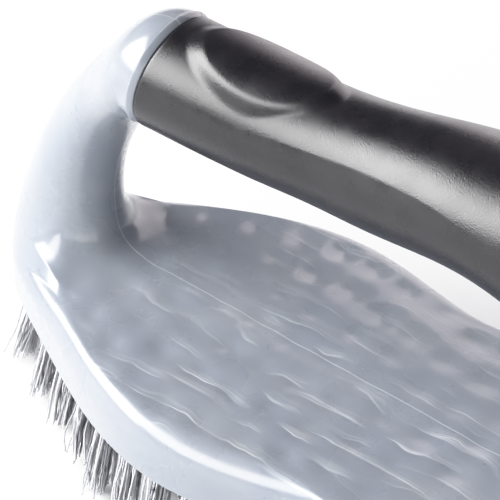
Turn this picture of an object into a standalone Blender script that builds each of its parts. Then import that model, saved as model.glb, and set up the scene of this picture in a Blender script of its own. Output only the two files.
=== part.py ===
"""Scrub brush: a tapered block with a tufted underside, an arched neck and a rear-facing handle.

The block, neck, collar and handle core are one moulding, made as one loft of rings. The soft grip
is a closed sleeve over the core. The tufts stand on slices of the backing, which fill a recess
under the block. Sizes are in millimetres and become metres where a mesh is made. The nose is at
-X, the handle's free end at +X, and Z = 0 is the plane of the bristle tips.
"""
import math
import random

import bmesh
import bpy
import numpy as np

MM = 0.001

# Clearance between pieces that touch
SEAT_GAP = 0.3

# Block, seen from above
BLOCK_LENGTH = 163.0
BLOCK_WIDTH = 78.0
WAIST_WIDTH = 67.2
LOBE_WIDTH = 70.2

# Block, seen from the side
BLOCK_THICKNESS = 14.0
RIM_SHOULDER = 8.6
RIM_DROP = 6.6
FOOT_ROUND = 0.8
DRAFT = 0.6
CROWN = 1.6

# Recess under the block, and the backing that fills it
RIM_LAND = 4.0
BACKING_THICKNESS = 8.0

# Handle, from the collar back
HANDLE_RISE = 56.5
HANDLE_TILT = 10.0
COLLAR_FROM_NOSE = 45.0
COLLAR_RADIUS = 13.0
COLLAR_LIP = 1.8
GRIP_LENGTH = 106.5
GRIP_RADIUS = 12.7
GRIP_WAIST_RADIUS = 12.1
POMMEL_RADIUS = 16.2
POMMEL_WIDTH = 33.0
POMMEL_RISE = 4.7
CORE_RADIUS = 9.0
GRIP_END_WALL = 14.0

# Neck, from its foot behind the nose up to the collar
NECK_FROM_NOSE = 14.0
NECK_CLIMB = 23.6
NECK_ARRIVAL = 14.7
NECK_ROOT_LENGTH = 22.4
NECK_ROOT_WIDTH = 18.6
NECK_THICKNESS = 15.8
NECK_FILLET = 12.0

# Nose, where the short lines from the rim to the neck have no deck between them
RIM_SHARE = 0.35
SWEEP_RAY = 12.0

# Handles of the fillet's curve as shares of its reach and height, and of the nose's curve as shares
# of its height
DECK_HOLD = 0.70
NECK_HOLD = 0.85
SHORT_HOLD = 0.50
RIM_HOLD = 0.18
NOSE_HOLD = 0.60

# Thumb pad, a low oval rise on top of the grip
PAD_FROM_COLLAR = 25.0
PAD_LENGTH = 31.0
PAD_WIDTH = 14.6
PAD_RISE = 1.4
PAD_ROLL = 0.42

# Tufts
BRISTLE_LENGTH = 24.5
ROW_COUNT = 16
TUFT_MARGIN = 8.3
END_ROW_SETBACK = 1.5
TUFT_PITCH = 9.4
STRANDS_PER_TUFT = 4
STRAND_SIDES = 3
STRAND_ROOT_RADIUS = 0.75
STRAND_TIP_RADIUS = 0.5
TUFT_ROOT_SPREAD = 1.35
TUFT_TIP_SPREAD = 3.0
EDGE_SPLAY = 5.0
TIP_UNEVENNESS = 1.6
STRAND_BURIAL = 1.0
BRISTLE_SEED = 7

# Fineness of the meshes
BODY_SIDES = 60
GRIP_SIDES = 40
OUTLINE_SAMPLES = 720

# Heights and places that follow from the sizes above
BLOCK_BOTTOM = BRISTLE_LENGTH
RIM_HEIGHT = BLOCK_BOTTOM + BLOCK_THICKNESS
NOSE_X = -BLOCK_LENGTH / 2
COLLAR_X = NOSE_X + COLLAR_FROM_NOSE
HANDLE_Z = RIM_HEIGHT + HANDLE_RISE
NECK_ROOT_SHARE = 0.22
NECK_STATIONS = (NECK_ROOT_SHARE, 0.27, 0.32, 0.38, 0.45, 0.53, 0.61, 0.69, 0.76, 0.81, 0.85, 0.885,
                 0.915, 0.95)
UP = np.array([0.0, 0.0, 1.0])


# Curves and profiles

def natural_spline(knots, values, at):
    """Values of the natural cubic spline through (knots, values) at the places in at."""
    knots = np.asarray(knots, float)
    values = np.asarray(values, float)
    at = np.asarray(at, float)
    count = len(knots)
    step = np.diff(knots)
    matrix = np.eye(count)
    bend = np.zeros_like(values)
    for i in range(1, count - 1):
        matrix[i, i - 1:i + 2] = (step[i - 1], 2 * (step[i - 1] + step[i]), step[i])
        slope_after = (values[i + 1] - values[i]) / step[i]
        slope_before = (values[i] - values[i - 1]) / step[i - 1]
        bend[i] = 6 * (slope_after - slope_before)
    curvature = np.linalg.solve(matrix, bend)
    span = np.clip(np.searchsorted(knots, at, side="right") - 1, 0, count - 2)
    width = step[span]
    a = (knots[span + 1] - at) / width
    b = (at - knots[span]) / width
    if values.ndim > 1:
        a, b, width = a[..., None], b[..., None], width[..., None]
    cubic = (a ** 3 - a) * curvature[span] + (b ** 3 - b) * curvature[span + 1]
    return a * values[span] + b * values[span + 1] + cubic * width ** 2 / 6


def smooth_step(value):
    """0 below 0, 1 above 1, and a smooth rise between."""
    value = np.clip(value, 0.0, 1.0)
    return value * value * (3 - 2 * value)


def block_outline():
    """The block's plan outline as a dense closed loop, from the nose round by +Y."""
    half = BLOCK_WIDTH / 2
    side = np.array([
        (0.000, 0.0),
        (0.018, 0.213 * half),
        (0.068, 0.391 * half),
        (0.163, 0.607 * half),
        (0.279, 0.843 * half),
        (0.445, half),
        (0.675, WAIST_WIDTH / 2),
        (0.845, LOBE_WIDTH / 2),
        (0.958, 0.665 * LOBE_WIDTH / 2),
        (1.000, 0.0),
    ])
    side[:, 0] = NOSE_X + side[:, 0] * BLOCK_LENGTH
    mirrored = (side[1:-1] * [1, -1])[::-1]
    loop = np.vstack([side, mirrored])
    shared = 4
    wrapped = np.vstack([loop[-shared:], loop, loop[:shared + 1]])
    along = np.r_[0, np.cumsum(np.linalg.norm(np.diff(wrapped, axis=0), axis=1))]
    places = np.linspace(along[shared], along[shared + len(loop)], OUTLINE_SAMPLES, endpoint=False)
    return natural_spline(along, wrapped, places)


def inset_loop(loop, distance):
    """The loop moved inwards by distance along its own normals."""
    tangent = np.roll(loop, -1, axis=0) - np.roll(loop, 1, axis=0)
    tangent /= np.linalg.norm(tangent, axis=1)[:, None]
    inward = np.stack([tangent[:, 1], -tangent[:, 0]], axis=1)
    return loop + inward * distance


def ring_places(loop, centre_x):
    """Places on the dense loop for the corners of the body's rings, closer at the nose and tail."""
    bearing = np.unwrap(np.arctan2(loop[:, 1], loop[:, 0] - centre_x))
    length = np.linalg.norm(np.roll(loop, -1, axis=0) - loop, axis=1)
    turn = np.abs(np.diff(bearing, append=bearing[0] - math.tau))
    reached = np.r_[0, np.cumsum(length / length.sum() + turn / math.tau)]
    wanted = np.arange(BODY_SIDES) * reached[-1] / BODY_SIDES
    return np.interp(wanted, reached, np.arange(len(loop) + 1))


def points_at(loop, places):
    """Points of a dense closed loop at fractional places."""
    closed = np.vstack([loop, loop[:1]])
    whole = np.arange(len(closed))
    return np.stack([np.interp(places, whole, closed[:, k]) for k in (0, 1)], axis=1)


def bezier(start, leave, arrive, end, share):
    """Point of a cubic Bezier curve; leave and arrive are its handles next to start and end."""
    rest = 1 - share
    near = rest ** 3 * start + 3 * rest ** 2 * share * leave
    return near + 3 * rest * share ** 2 * arrive + share ** 3 * end


def softly_least(first, second):
    """The lesser of two lengths, with a smooth passage from one to the other."""
    return (first ** -6.0 + second ** -6.0) ** (-1 / 6)


def neck_path(t):
    """Centre line of the neck in the XZ plane, a cubic curve from its foot up to the collar."""
    foot = np.array([NOSE_X + NECK_FROM_NOSE, RIM_HEIGHT])
    top = np.array([COLLAR_X, HANDLE_Z])
    climb = foot + [0.0, NECK_CLIMB]
    tilt = math.radians(HANDLE_TILT)
    arrival = top - NECK_ARRIVAL * np.array([math.cos(tilt), math.sin(tilt)])
    return bezier(foot, climb, arrival, top, t)


def handle_path(along):
    """Centre line of the handle in the XZ plane, at a share of the grip's length."""
    shares = (0.0, 0.20, 0.37, 0.53, 0.67, 0.79, 0.90, 1.0)
    rises = np.array((0.0, -0.02, 0.03, 0.33, 0.83, 1.0, 0.87, 0.65)) * POMMEL_RISE
    return np.array([COLLAR_X + along * GRIP_LENGTH, HANDLE_Z + natural_spline(shares, rises, along)])


def lean_across(path, at, reach=0.01):
    """Turn of a section square to a path in the XZ plane: 0 where it climbs, 90 degrees level."""
    ahead, behind = path(at + reach), path(at - reach)
    return math.pi / 2 - math.atan2(ahead[1] - behind[1], ahead[0] - behind[0])


def section_ring(centre, lean, half_thick, half_wide, angles):
    """An oval ring round a point of the XZ plane; angle 0 is its rear or lower side."""
    forward = half_thick * np.cos(angles)
    return np.column_stack([
        centre[0] + forward * math.cos(lean),
        half_wide * np.sin(angles),
        centre[1] - forward * math.sin(lean),
    ])


# Body: block, neck, collar and handle core in one loft

def flat_ring(points, height):
    """Plan points lifted to one height, or to a height each."""
    return np.column_stack([points, np.broadcast_to(np.asarray(height, float), len(points))])


def underside_rings(loop, places):
    """Ceiling and wall of the recess, the land round it and the foot of the side wall."""
    ceiling = BLOCK_BOTTOM + BACKING_THICKNESS
    steps = (
        (RIM_LAND, ceiling),
        (RIM_LAND, BLOCK_BOTTOM),
        (FOOT_ROUND, BLOCK_BOTTOM),
        (0.0, BLOCK_BOTTOM + FOOT_ROUND),
    )
    return [flat_ring(points_at(inset_loop(loop, inset), places), z) for inset, z in steps]


def top_rings(outer, root, rise):
    """Side wall, rounded rim, crowned deck and the fillet that climbs to the neck's root.

    The rings run inwards on straight lines from the outline to the root ring, and arrive there
    along rise, the neck's own slope. Steps 0 to 5 go over the rim, 5 to 10 over the deck and 10 to
    17 up the fillet. Where a line is short, at the nose, the wall has no rim or deck and sweeps up
    into the neck in one curve.
    """
    across = root[:, :2] - outer
    ray = np.linalg.norm(across, axis=1)
    inwards = flat_ring(across / ray[:, None], 0.0)
    shoulder = softly_least(RIM_SHOULDER, RIM_SHARE * ray)
    drop = RIM_DROP * shoulder / RIM_SHOULDER
    fillet = softly_least(NECK_FILLET, ray - shoulder - DRAFT)

    def top(inward, below=0.0):
        height = RIM_HEIGHT + CROWN * (1 - (1 - inward / ray) ** 2) - below
        return flat_ring(outer, height) + inwards * inward[:, None]

    foot = top(ray - fillet)
    sweep = 1 / (1 + (ray / SWEEP_RAY) ** 3)[:, None]
    deck_hold = DECK_HOLD + (SHORT_HOLD - DECK_HOLD) * sweep
    neck_hold = NECK_HOLD + (SHORT_HOLD - NECK_HOLD) * sweep
    leave = foot + (inwards + UP * CROWN * 2 * (fillet / ray ** 2)[:, None]) * deck_hold * fillet[:, None]
    arrive = root - rise * neck_hold * (root - foot)[:, 2:]
    wall = flat_ring(outer, RIM_HEIGHT - RIM_DROP)
    climb = (root - wall)[:, 2:]
    rings = []
    for step in range(17):
        turn = math.radians(18 * min(step, 5))
        on_deck = min(max(step - 5, 0), 5) / 5
        start = (DRAFT + shoulder) * (1 - math.cos(turn))
        over = top(start + (ray - fillet - start) * on_deck, drop * (1 - math.sin(turn)))
        if step > 10:
            over = bezier(foot, leave, arrive, root, (step - 10) / 7)
        swept = bezier(wall, wall + UP * RIM_HOLD * climb, root - rise * NOSE_HOLD * climb, root, step / 17)
        rings.append(over + (swept - over) * sweep)
    return rings


def neck_half_sizes(t):
    """Half thickness in the XZ plane and half width across, at t along the neck."""
    arm, root = NECK_THICKNESS / 2, NECK_ROOT_LENGTH / 2
    narrow = NECK_ROOT_WIDTH / 2
    flared = COLLAR_RADIUS - 0.3
    stations = (NECK_ROOT_SHARE, 0.35, 0.47, 0.60, 0.74, 0.83, 0.90, 0.97)
    thinning = np.array((1.0, 0.44, 0.15, 0.0, 0.0, 0.0, 0.0, 0.0))
    swelling = np.array((0.0, 0.0, 0.0, 0.0, 0.04, 0.27, 0.81, 1.0))
    widening = np.array((0.0, -0.06, 0.03, 0.26, 0.56, 0.76, 0.85, 1.0))
    thick = arm + (root - arm) * thinning + (flared - arm) * swelling
    wide = narrow + (flared - narrow) * widening
    return float(natural_spline(stations, thick, t)), float(natural_spline(stations, wide, t))


def collar_axis():
    """Unit vector in the XZ plane that points back along the tilted collar."""
    tilt = math.radians(HANDLE_TILT)
    return np.array([math.cos(tilt), -math.sin(tilt)])


def neck_ring(t, bearing, even):
    """One section of the neck, from its root to the hump in front of the collar's lip.

    The arm's centre line passes over to the collar's own axis inside the hump, where the sections
    turn upright and swell to the collar's radius.
    """
    axis = collar_axis()
    upright = math.pi / 2 + math.radians(HANDLE_TILT)
    spread = smooth_step((t - NECK_ROOT_SHARE) / 0.4)
    square = lean_across(neck_path, t) * smooth_step((t - NECK_ROOT_SHARE) / 0.2)
    turned = smooth_step((t - 0.77) / 0.18)
    arm = neck_path(t)
    on_axis = np.array([COLLAR_X, HANDLE_Z]) - axis * (COLLAR_X - arm[0]) / axis[0]
    centre = arm + (on_axis - arm) * smooth_step((t - 0.78) / 0.17)
    thick, wide = neck_half_sizes(t)
    lean = square + (upright - square) * turned
    return section_ring(centre, lean, thick, wide, bearing * (1 - spread) + even * spread)


def collar_rings(even):
    """The thin rounded lip and the collar's flat end face, square to the tilted handle."""
    lean = math.pi / 2 + math.radians(HANDLE_TILT)
    axis = collar_axis()
    face = np.array([COLLAR_X, HANDLE_Z])
    profile = (
        (COLLAR_LIP, COLLAR_RADIUS - 0.35),
        (0.8 * COLLAR_LIP, COLLAR_RADIUS),
        (0.25 * COLLAR_LIP, COLLAR_RADIUS),
        (0.0, COLLAR_RADIUS - 0.4),
        (0.0, CORE_RADIUS),
    )
    return [section_ring(face - axis * back, lean, r, r, even) for back, r in profile]


def handle_lean(along):
    """Turn of the handle's sections: tilted at the collar, then square to the handle's line."""
    tilted = math.pi / 2 + math.radians(HANDLE_TILT)
    square = lean_across(handle_path, max(along, 0.01))
    settled = smooth_step(along / 0.16)
    return tilted + (square - tilted) * settled


def core_rings(even):
    """The round bar inside the grip, with a chamfered end."""
    end = 1 - GRIP_END_WALL / GRIP_LENGTH
    chamfer = 1.0
    stations = [(along, CORE_RADIUS) for along in np.linspace(0.08, end - 0.02, 9)]
    stations += [(end - chamfer / GRIP_LENGTH, CORE_RADIUS), (end, CORE_RADIUS - chamfer)]
    return [section_ring(handle_path(a), handle_lean(a), r, r, even) for a, r in stations]


def make_body(collection):
    """The one-piece moulding, lofted from the recess ceiling out, up, over and into the handle."""
    loop = block_outline()
    root_x = neck_path(NECK_ROOT_SHARE)[0]
    places = ring_places(loop, root_x)
    outer = points_at(loop, places)
    bearing = np.unwrap(np.arctan2(outer[:, 1], outer[:, 0] - root_x))
    bearing += math.pi - bearing[0]
    half_long, half_wide = NECK_ROOT_LENGTH / 2, NECK_ROOT_WIDTH / 2
    angles = np.unwrap(np.arctan2(np.sin(bearing) / half_wide, np.cos(bearing) / half_long))
    angles += math.pi - angles[0]
    even = math.pi - np.arange(BODY_SIDES) * math.tau / BODY_SIDES
    sections = [neck_ring(t, angles, even) for t in NECK_STATIONS]
    rise = neck_ring(NECK_ROOT_SHARE + 0.001, angles, even) - sections[0]
    rise /= np.linalg.norm(rise, axis=1)[:, None]
    rings = underside_rings(loop, places)
    rings += top_rings(outer, sections[0], rise)
    rings += sections
    rings += collar_rings(even)
    rings += core_rings(even)
    body = loft("brush_body", rings, collection)
    finish(body, "pearl_grey_plastic", (0.62, 0.65, 0.70), 0.22, 0.15)
    return body


# Grip

def grip_half_sizes(along):
    """Half height and half width of the grip at a share of its length, before its rounded end."""
    shares = (0.0, 0.20, 0.37, 0.53, 0.67, 0.79, 0.90, 1.0)
    waist, pommel = GRIP_WAIST_RADIUS, POMMEL_RADIUS
    high = (GRIP_RADIUS, waist + 0.2, waist, waist + 0.6, waist + 1.0, pommel - 2.0, pommel, pommel - 1.2)
    half = POMMEL_WIDTH / 2
    wide = (GRIP_RADIUS, waist + 0.4, waist + 0.2, waist + 1.1, half - 1.9, half - 0.6, half, half - 0.9)
    rounded = math.sqrt(max(0.0, 1 - (max(along - 0.88, 0.0) / 0.12) ** 2))
    height = float(natural_spline(shares, high, along)) * rounded
    return height, float(natural_spline(shares, wide, along)) * rounded


def raise_pad(ring, centre, along, angles):
    """Lift the top of a grip ring where the oval thumb pad lies, with a rolled edge round it."""
    from_middle = (along * GRIP_LENGTH - PAD_FROM_COLLAR) / (PAD_LENGTH / 2)
    oval = np.hypot(from_middle, ring[:, 1] / (PAD_WIDTH / 2))
    lift = PAD_RISE * (1 - smooth_step((oval - 1) / PAD_ROLL)) * (np.cos(angles) < 0)
    outward = ring - [centre[0], 0.0, centre[1]]
    outward /= np.linalg.norm(outward, axis=1)[:, None]
    return ring + outward * lift[:, None]


def grip_outer_rings(angles):
    """Outside of the sleeve from its front face to its rounded free end."""
    start = SEAT_GAP / GRIP_LENGTH
    near = np.linspace(start, 0.07, 3)
    pad = np.linspace(0.09, 0.41, 13)
    rest = (0.45, 0.50, 0.56, 0.62, 0.68, 0.73, 0.78, 0.83, 0.88, 0.92, 0.955, 0.98, 0.994)
    rings = []
    for along in np.r_[near, pad, rest]:
        high, wide = grip_half_sizes(along)
        centre = handle_path(along)
        ring = section_ring(centre, handle_lean(along), high, wide, angles)
        rings.append(raise_pad(ring, centre, along, angles))
    return rings


def grip_bore_rings(angles):
    """Inside of the sleeve, from the closed end forward to the front face."""
    end = 1 - (GRIP_END_WALL - SEAT_GAP) / GRIP_LENGTH
    radius = (CORE_RADIUS + SEAT_GAP) / math.cos(math.pi / GRIP_SIDES)
    stations = np.r_[end, np.linspace(end - 0.03, 0.08, 9), SEAT_GAP / GRIP_LENGTH]
    return [section_ring(handle_path(a), handle_lean(a), radius, radius, angles) for a in stations]


def make_grip(collection):
    """The soft sleeve: one closed skin, outside from the front to the end and inside back again."""
    angles = math.pi - np.arange(GRIP_SIDES) * math.tau / GRIP_SIDES
    outside = grip_outer_rings(angles)
    bore = grip_bore_rings(angles)
    grip = loft("grip_sleeve", bore + outside, collection)
    finish(grip, "black_soft_grip", (0.012, 0.012, 0.014), 0.45, 0.0)
    return grip


# Bristles on slices of the backing

def row_middles():
    """Places of the tuft rows along X, evenly spaced between the nose and the tail."""
    first = NOSE_X + TUFT_MARGIN + END_ROW_SETBACK
    return np.linspace(first, -first, ROW_COUNT)


def half_width_at(loop, x):
    """Half width of a plan outline at the places x."""
    upper = loop[:len(loop) // 2 + 1]
    return np.interp(x, upper[:, 0], upper[:, 1], left=0.0, right=0.0)


def slice_outline(seat, front, back):
    """Plan outline of one slice between two cuts, with the seat's own corners along its ends."""
    low, high = max(front, seat[:, 0].min()), min(back, seat[:, 0].max())
    corners = seat[:len(seat) // 2 + 1, 0]
    x = np.unique(np.r_[low, corners[(corners > low) & (corners < high)], high])
    upper = list(zip(x, half_width_at(seat, x)))
    lower = [(px, -py) for px, py in reversed(upper) if py > SEAT_GAP]
    return upper + lower


def make_slice(name, outline, collection):
    """A flat slice of the backing: a filled 2D curve, extruded, and turned into a mesh."""
    thickness = BACKING_THICKNESS - SEAT_GAP
    curve = bpy.data.curves.new(name, "CURVE")
    curve.dimensions = "2D"
    curve.fill_mode = "BOTH"
    curve.extrude = thickness / 2 * MM
    spline = curve.splines.new("POLY")
    spline.points.add(len(outline) - 1)
    for point, (x, y) in zip(spline.points, outline):
        point.co = (x * MM, y * MM, 0.0, 1.0)
    spline.use_cyclic_u = True
    drawn = bpy.data.objects.new(name, curve)
    drawn.location.z = (BLOCK_BOTTOM + thickness / 2) * MM
    collection.objects.link(drawn)
    return curve_to_mesh(drawn, collection)


def tuft_places(field, x):
    """Tuft holes of one row: evenly spaced across the field that the rim leaves free."""
    reach = float(half_width_at(field, x))
    count = int(round(2 * reach / TUFT_PITCH)) + 1
    return [(x, y, y / reach) for y in np.linspace(-reach, reach, count)]


def tuft_strands(x, y, across, chance):
    """Root, middle and tip of each strand of one tuft, as (x, y, z, radius).

    The strands fan out evenly from the hole. Tufts at the edge of the field lean outwards.
    """
    lengthwise = x / row_middles()[-1]
    tip_x = x + EDGE_SPLAY * lengthwise ** 7
    tip_y = y + EDGE_SPLAY * across ** 3
    first = chance.uniform(0, math.tau)
    strands = []
    for k in range(STRANDS_PER_TUFT):
        angle = first + k * math.tau / STRANDS_PER_TUFT
        away = np.array([math.cos(angle), math.sin(angle)])
        root = np.array([x, y]) + away * TUFT_ROOT_SPREAD
        tip = np.array([tip_x, tip_y]) + away * TUFT_TIP_SPREAD
        middle = root + (tip - root) * 0.4
        tip_height = max(0.0, chance.uniform(-0.6, 1.0)) * TIP_UNEVENNESS
        half_way = (STRAND_ROOT_RADIUS + STRAND_TIP_RADIUS) / 2
        strands.append((
            (*root, BLOCK_BOTTOM + STRAND_BURIAL, STRAND_ROOT_RADIUS),
            (*middle, BLOCK_BOTTOM / 2, half_way),
            (*tip, tip_height, STRAND_TIP_RADIUS),
        ))
    return strands


def strand_rings(strand, turn):
    """Level sections of one strand, so that its tip is a small flat face."""
    corners = turn + np.arange(STRAND_SIDES) * math.tau / STRAND_SIDES
    rings = []
    for x, y, z, radius in strand:
        rings.append(np.column_stack([
            x + radius * np.cos(corners),
            y + radius * np.sin(corners),
            np.full(STRAND_SIDES, z),
        ]))
    return rings


def make_row(number, middle, seat, field, chance, collection, cutters):
    """One slice of the backing with its row of tufts joined to it."""
    pitch = row_middles()[1] - row_middles()[0]
    front = -BLOCK_LENGTH if number == 1 else middle - (pitch - SEAT_GAP) / 2
    back = BLOCK_LENGTH if number == ROW_COUNT else middle + (pitch - SEAT_GAP) / 2
    name = f"bristle_row_{number:02d}"
    backing = make_slice(name, slice_outline(seat, front, back), collection)
    bm = bmesh.new()
    strands = []
    for x, y, across in tuft_places(field, middle):
        for strand in tuft_strands(x, y, across, chance):
            add_loft(bm, strand_rings(strand, chance.uniform(0, math.tau)))
            strands.append(strand)
    bmesh.ops.recalc_face_normals(bm, faces=bm.faces)
    mesh = bpy.data.meshes.new(name + "_strands")
    bm.to_mesh(mesh)
    bm.free()
    tufts = bpy.data.objects.new(name + "_strands", mesh)
    tufts.hide_render = True
    tufts.display_type = "WIRE"
    cutters.objects.link(tufts)
    joined = backing.modifiers.new("strands", "BOOLEAN")
    joined.operation = "UNION"
    joined.solver = "EXACT"
    joined.object = tufts
    shade = 0.45 if number % 2 else 0.62
    finish(backing, f"grey_filament_{number:02d}", (shade, shade, shade), 0.55, 0.0)
    return strands


def least_gap(strands):
    """Least clear distance between any two strands, measured on level cuts down their length."""
    best = math.inf
    for height in np.linspace(TIP_UNEVENNESS, BLOCK_BOTTOM, 12):
        centres = []
        for root, middle, tip in strands:
            stations = (tip[2], middle[2], root[2])
            centres.append([np.interp(height, stations, (tip[k], middle[k], root[k])) for k in (0, 1, 3)])
        centres = np.array(centres)
        apart = np.linalg.norm(centres[:, None, :2] - centres[None, :, :2], axis=2)
        apart -= centres[:, None, 2] + centres[None, :, 2]
        np.fill_diagonal(apart, math.inf)
        best = min(best, apart.min())
    return best


def make_bristles(collection, cutters):
    """All the rows, from the nose back."""
    loop = block_outline()
    places = ring_places(loop, neck_path(NECK_ROOT_SHARE)[0])
    seat = points_at(inset_loop(loop, RIM_LAND + SEAT_GAP), places)
    field = inset_loop(loop, TUFT_MARGIN)
    chance = random.Random(BRISTLE_SEED)
    strands = []
    for index, middle in enumerate(row_middles()):
        strands += make_row(index + 1, middle, seat, field, chance, collection, cutters)
    print(f"{len(strands)} strands, least gap {least_gap(strands):.2f} mm")


# Meshes and materials

def add_loft(bm, rings):
    """Skin a run of closed rings with faces and close both ends."""
    layers = [[bm.verts.new((x * MM, y * MM, z * MM)) for x, y, z in ring] for ring in rings]
    for lower, upper in zip(layers, layers[1:]):
        for k in range(len(lower)):
            after = (k + 1) % len(lower)
            bm.faces.new((lower[k], lower[after], upper[after], upper[k]))
    bm.faces.new(reversed(layers[0]))
    bm.faces.new(layers[-1])


def loft(name, rings, collection):
    """A closed solid skinned over rings."""
    bm = bmesh.new()
    add_loft(bm, rings)
    bmesh.ops.recalc_face_normals(bm, faces=bm.faces)
    mesh = bpy.data.meshes.new(name)
    bm.to_mesh(mesh)
    bm.free()
    piece = bpy.data.objects.new(name, mesh)
    collection.objects.link(piece)
    return piece


def curve_to_mesh(drawn, collection):
    """Replace a curve object by a mesh object with its caps welded."""
    name = drawn.name
    bpy.context.view_layer.update()
    evaluated = drawn.evaluated_get(bpy.context.evaluated_depsgraph_get())
    mesh = bpy.data.meshes.new_from_object(evaluated)
    bm = bmesh.new()
    bm.from_mesh(mesh)
    bmesh.ops.remove_doubles(bm, verts=bm.verts, dist=0.00001)
    bmesh.ops.recalc_face_normals(bm, faces=bm.faces)
    bm.to_mesh(mesh)
    bm.free()
    placed = drawn.matrix_world.copy()
    bpy.data.objects.remove(drawn)
    piece = bpy.data.objects.new(name, mesh)
    piece.matrix_world = placed
    collection.objects.link(piece)
    return piece


def finish(piece, name, colour, roughness, metallic):
    """Give a piece its own material and smooth shading with sharp edges kept."""
    material = bpy.data.materials.new(name)
    material.use_nodes = True
    shader = material.node_tree.nodes["Principled BSDF"]
    shader.inputs["Base Color"].default_value = (*colour, 1.0)
    shader.inputs["Roughness"].default_value = roughness
    shader.inputs["Metallic"].default_value = metallic
    piece.data.materials.clear()
    piece.data.materials.append(material)
    piece.data.shade_smooth()
    piece.data.set_sharp_from_angle(angle=math.radians(35))


def new_collection(name):
    """A collection linked to the scene."""
    collection = bpy.data.collections.new(name)
    bpy.context.scene.collection.children.link(collection)
    return collection


def main():
    """Clear the scene and build the brush."""
    for old in list(bpy.data.objects):
        bpy.data.objects.remove(old, do_unlink=True)
    brush = new_collection("scrub_brush")
    cutters = new_collection("cutters")
    make_body(brush)
    make_grip(brush)
    make_bristles(brush, cutters)


main()
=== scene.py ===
"""A scrub brush: a pearl-grey moulding, a soft black grip and crimped tufts, dressed for a render.

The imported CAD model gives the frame. This script lays a finer skin over each of its pieces, with
the same sizes, and adds the camera, the light and the floor. Shapes are in millimetres.
"""
# %% [markdown]
# ## The frame
#
# The brush stands on the tips of its bristles at Z = 0. Its nose points to -X, the free end of its
# handle to +X, and the plane Y = 0 cuts it into two equal halves. The brush is rigid, so every piece
# rides on the one body, called root.

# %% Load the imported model
import math

import bmesh
import bpy
import numpy as np
from mathutils import Matrix, Vector


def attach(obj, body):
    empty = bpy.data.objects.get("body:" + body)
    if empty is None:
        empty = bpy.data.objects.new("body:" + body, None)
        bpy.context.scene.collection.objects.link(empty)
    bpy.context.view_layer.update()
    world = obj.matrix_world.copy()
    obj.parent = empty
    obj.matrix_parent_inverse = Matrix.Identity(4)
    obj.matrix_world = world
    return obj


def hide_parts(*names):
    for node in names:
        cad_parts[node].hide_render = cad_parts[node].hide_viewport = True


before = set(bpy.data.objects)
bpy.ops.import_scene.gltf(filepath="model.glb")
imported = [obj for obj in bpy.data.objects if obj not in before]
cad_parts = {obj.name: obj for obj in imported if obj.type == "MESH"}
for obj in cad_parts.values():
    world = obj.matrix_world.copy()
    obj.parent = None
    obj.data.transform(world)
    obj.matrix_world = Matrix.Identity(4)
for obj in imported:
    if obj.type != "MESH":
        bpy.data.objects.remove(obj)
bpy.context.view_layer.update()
MM = 0.001

# %% [markdown]
# ## Sizes
#
# These are the brush's sizes in millimetres. They are the same numbers as in the CAD model, so that
# each skin lies where its solid lies.

# %% Sizes of the brush
BLOCK_LENGTH, BLOCK_WIDTH, WAIST_WIDTH, LOBE_WIDTH = 163.0, 78.0, 67.2, 70.2
BLOCK_THICKNESS, RIM_SHOULDER, RIM_DROP = 14.0, 8.6, 6.6
FOOT_ROUND, DRAFT, CROWN = 0.8, 0.6, 1.6
HANDLE_RISE, HANDLE_TILT = 56.5, math.radians(10.0)
COLLAR_FROM_NOSE, COLLAR_RADIUS, COLLAR_LIP = 45.0, 13.0, 1.8
GRIP_LENGTH, GRIP_RADIUS, GRIP_WAIST = 106.5, 12.7, 12.1
POMMEL_RADIUS, POMMEL_WIDTH, POMMEL_RISE = 16.2, 33.0, 4.7
CORE_RADIUS, GRIP_END_WALL, SEAT_GAP = 9.0, 14.0, 0.3
NECK_FROM_NOSE, NECK_CLIMB, NECK_ARRIVAL = 14.0, 23.6, 14.7
ROOT_LENGTH, ROOT_WIDTH, ARM_THICKNESS = 22.4, 18.6, 15.8
NECK_FILLET, RIM_SHARE, SWEEP_RAY, ROOT_SHARE = 12.0, 0.35, 12.0, 0.22
DECK_HOLD, NECK_HOLD, SHORT_HOLD, RIM_HOLD, NOSE_HOLD = 0.70, 0.85, 0.50, 0.18, 0.60
PAD_FROM_COLLAR, PAD_LENGTH, PAD_WIDTH, PAD_RISE, PAD_ROLL = 25.0, 31.0, 14.6, 1.4, 0.42
BRISTLE_LENGTH, ROW_COUNT, TUFT_MARGIN, TUFT_PITCH, END_SETBACK = 24.5, 16, 8.3, 9.4, 1.5

DECK_FOOT = BRISTLE_LENGTH
RIM_HEIGHT = DECK_FOOT + BLOCK_THICKNESS
NOSE_X = -BLOCK_LENGTH / 2
COLLAR_X = NOSE_X + COLLAR_FROM_NOSE
HANDLE_Z = RIM_HEIGHT + HANDLE_RISE
UP = np.array([0.0, 0.0, 1.0])
print("deck at", RIM_HEIGHT, "mm, handle at", HANDLE_Z, "mm")

# %% [markdown]
# ## The camera
#
# A photograph of a thing this small is taken from about half a metre with a long lens, so that the
# near and far sides look nearly the same size. The camera looks down by 40 degrees on the brush's
# near side, turned by 38 degrees towards its tail, and the frame cuts off the tail.

# %% The camera at the photograph's view
AZIMUTH, ELEVATION, ROLL = math.radians(38.5), math.radians(40.5), math.radians(0.5)
CAMERA_DISTANCE, CAMERA_AIM = 450.0, np.array([-15.0, -1.88, 60.5])
PIXELS_PER_MM, FRAME_PIXELS, SENSOR_WIDTH = 4.85, 500, 36.0


def camera_axes(azimuth, elevation, roll):
    """Right, up and backward unit vectors of a camera, turned about its own line of sight by roll."""
    back = np.array([math.sin(azimuth) * math.cos(elevation), -math.cos(azimuth) * math.cos(elevation),
                     math.sin(elevation)])
    level = np.array([math.cos(azimuth), math.sin(azimuth), 0.0])
    upright = np.cross(back, level)
    right = math.cos(roll) * level + math.sin(roll) * upright
    up = -math.sin(roll) * level + math.cos(roll) * upright
    return right, up, back


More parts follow.
